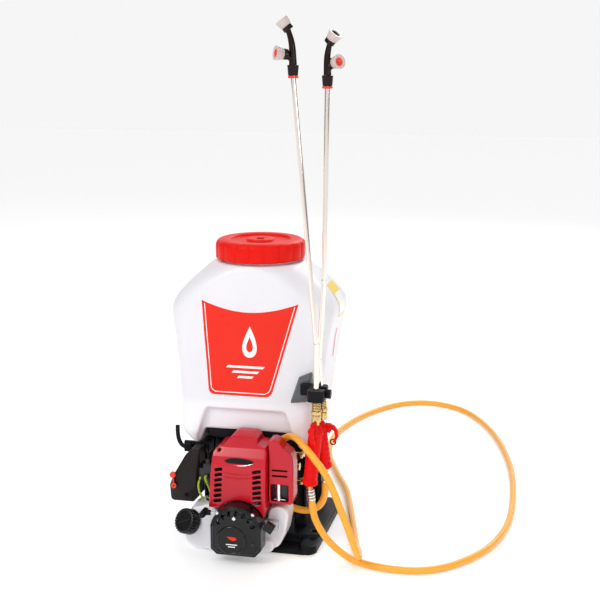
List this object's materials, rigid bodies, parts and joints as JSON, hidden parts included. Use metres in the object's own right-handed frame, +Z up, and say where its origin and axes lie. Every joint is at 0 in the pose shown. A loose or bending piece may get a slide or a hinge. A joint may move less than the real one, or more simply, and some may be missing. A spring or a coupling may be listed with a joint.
{
  "type": "knapsack sprayer",
  "caption": "Engine-driven knapsack sprayer: white tank with red screw cap, four-stroke engine and pump on a black frame, spray guns with long lances, hose loop.",
  "frame": {"origin": "floor level under the axis of the tank's filler cap", "axes": "+Z up, -Y the engine side, +Y the wearer's back, +X the side with the spray guns"},
  "size_m": [0.6755, 1.1446, 1.0307],
  "materials": {
    "red_plastic": "glossy moulded ABS",
    "gun_red": "semi-gloss",
    "black_plastic": "fine-grained moulded",
    "air_cleaner_black": "fine-grained moulded",
    "grey_plastic": "fine-grained moulded",
    "tank_white": "translucent HDPE",
    "clear_hose": "clear PVC",
    "fuel_line": "yellow-green",
    "rubber": "matt",
    "webbing": "woven and foam padded",
    "aluminium": "die cast",
    "steel": "bright",
    "brass": "satin",
    "rope": "braided cord",
    "orange_red": "semi-gloss",
    "nozzle_cap": "satin, pale grey",
    "hose": "yellow-orange braid-reinforced PVC"
  },
  "bodies": {
    "machine": {"base_tray": "black_plastic", "back_frame": "black_plastic", "side_posts": "black_plastic", "tank_shelf": "black_plastic", "back_pad": "webbing", "strap_left": "webbing", "strap_right": "webbing", "rubber_mounts": "rubber", "bolts": "steel", "tank": "tank_white", "strainer_basket": "black_plastic", "tank_hoses": "clear_hose", "holder_pad": "grey_plastic", "lance_clip": "black_plastic", "crankcase": "aluminium", "cylinder_block": "aluminium", "top_cover": "red_plastic", "muffler": "steel", "muffler_cover": "red_plastic", "recoil_housing": "black_plastic", "carburettor": "aluminium", "air_cleaner_base": "black_plastic", "air_cleaner_cover": "air_cleaner_black", "throttle_bracket": "black_plastic", "throttle_cable": "rubber", "fuel_tank": "tank_white", "fuel_lines": "fuel_line", "oil_neck": "aluminium", "pump_body": "aluminium", "outlet_cocks": "brass", "gun_1": "gun_red", "valve_1": "brass", "lance_1": "steel", "nozzle_arm_1": "black_plastic", "gun_2": "gun_red", "valve_2": "brass", "lance_2": "steel", "nozzle_arm_2": "black_plastic", "hose_1": "hose", "hose_2": "hose"},
    "cap_carrier": {"cap_gasket": "rubber"},
    "cap_rise": {"cap_vent_plug": "black_plastic"},
    "cap": {"tank_cap": "red_plastic"},
    "fuel_cap": {"fuel_cap": "black_plastic"},
    "oil_plug": {"oil_plug": "black_plastic"},
    "starter_grip": {"starter_grip": "black_plastic", "starter_rope": "rope"},
    "starter_pulley": {"starter_pulley": "grey_plastic"},
    "crank": {"flywheel": "steel"},
    "choke": {"choke_lever": "orange_red"},
    "throttle": {"throttle_lever": "black_plastic"},
    "cock_upper": {"cock_lever_upper": "brass"},
    "cock_lower": {"cock_lever_lower": "brass"},
    "trigger_1": {"lever_1": "gun_red"},
    "trigger_2": {"lever_2": "gun_red"},
    "clip_knob": {"clip_knob": "black_plastic"},
    "nozzle_1_top": {"nozzle_cap_1_top": "nozzle_cap"},
    "nozzle_1_side": {"nozzle_cap_1_side": "nozzle_cap"},
    "nozzle_2_top": {"nozzle_cap_2_top": "nozzle_cap"},
    "nozzle_2_side": {"nozzle_cap_2_side": "nozzle_cap"}
  },
  "joints": [
    {"name": "cap_clear", "type": "slide", "parent": "machine", "child": "cap_carrier", "axis": [0, 0, 1], "range_m": [0, 0.12]},
    {"name": "cap_rise", "type": "slide", "parent": "cap_carrier", "child": "cap_rise", "axis": [0, 0, 1], "range_m": [0, 0.0091]},
    {"name": "cap_turn", "type": "hinge", "parent": "cap_rise", "child": "cap", "pos_m": [0, 0, 0.58], "axis": [0, 0, 1], "range_deg": [0, 720]},
    {"name": "fuel_cap_turn", "type": "hinge", "parent": "machine", "child": "fuel_cap", "pos_m": [-0.096, -0.16, 0.052], "axis": [-0.4197, -0.7995, 0.4297], "range_deg": [0, 540]},
    {"name": "oil_plug_turn", "type": "hinge", "parent": "machine", "child": "oil_plug", "pos_m": [0.0676, -0.186, 0.075], "axis": [0, -1, 0], "range_deg": [0, 720]},
    {"name": "starter_pull", "type": "slide", "parent": "machine", "child": "starter_grip", "axis": [-1, 0, 0], "range_m": [0, 0.07]},
    {"name": "starter_pulley_spin", "type": "hinge", "parent": "machine", "child": "starter_pulley", "pos_m": [0.004, -0.209, 0.067], "axis": [0, -1, 0], "range_deg": [0, 134]},
    {"name": "crank_spin", "type": "hinge", "parent": "machine", "child": "crank", "pos_m": [0.004, -0.19, 0.067], "axis": [0, 1, 0], "continuous": true},
    {"name": "choke_turn", "type": "hinge", "parent": "machine", "child": "choke", "pos_m": [-0.14, -0.154, 0.124], "axis": [0, 1, 0], "range_deg": [0, 50]},
    {"name": "throttle_turn", "type": "hinge", "parent": "machine", "child": "throttle", "pos_m": [-0.126, -0.1015, 0.188], "axis": [0, -1, 0], "range_deg": [0, 35]},
    {"name": "cock_upper_turn", "type": "hinge", "parent": "machine", "child": "cock_upper", "pos_m": [0.1105, -0.102, 0.192], "axis": [1, 0, 0], "range_deg": [0, 90]},
    {"name": "cock_lower_turn", "type": "hinge", "parent": "machine", "child": "cock_lower", "pos_m": [0.1105, -0.102, 0.138], "axis": [1, 0, 0], "range_deg": [0, 90]},
    {"name": "trigger_1_squeeze", "type": "hinge", "parent": "machine", "child": "trigger_1", "pos_m": [0.149, -0.183, 0.276], "axis": [1, 0, 0], "range_deg": [0, 10], "stiffness_Nm_per_rad": 0.4, "springref_deg": -8.59},
    {"name": "trigger_2_squeeze", "type": "hinge", "parent": "machine", "child": "trigger_2", "pos_m": [0.168, -0.137, 0.264], "axis": [0, 1, 0], "range_deg": [0, 10], "stiffness_Nm_per_rad": 0.4, "springref_deg": -8.59},
    {"name": "clip_knob_turn", "type": "hinge", "parent": "machine", "child": "clip_knob", "pos_m": [0.166, -0.1515, 0.332], "axis": [1, 0, 0], "continuous": true},
    {"name": "nozzle_1_top_turn", "type": "hinge", "parent": "machine", "child": "nozzle_1_top", "pos_m": [0.096, -0.166, 1.008], "axis": [-0.6063, -0.1069, 0.788], "continuous": true},
    {"name": "nozzle_1_side_turn", "type": "hinge", "parent": "machine", "child": "nozzle_1_side", "pos_m": [0.092, -0.172, 0.962], "axis": [-0.8112, -0.568, 0.1392], "continuous": true},
    {"name": "nozzle_2_top_turn", "type": "hinge", "parent": "machine", "child": "nozzle_2_top", "pos_m": [0.168, -0.137, 0.985], "axis": [0.604, -0.2198, 0.766], "continuous": true},
    {"name": "nozzle_2_side_turn", "type": "hinge", "parent": "machine", "child": "nozzle_2_side", "pos_m": [0.175, -0.143, 0.946], "axis": [0.7544, -0.633, 0.1736], "continuous": true}
  ],
  "couplings": [
    {"joint": "cap_rise", "follows": "cap_turn", "m_per_rad": 0.000716},
    {"joint": "starter_pulley_spin", "follows": "starter_pull", "rad_per_m": 33.333}
  ]
}
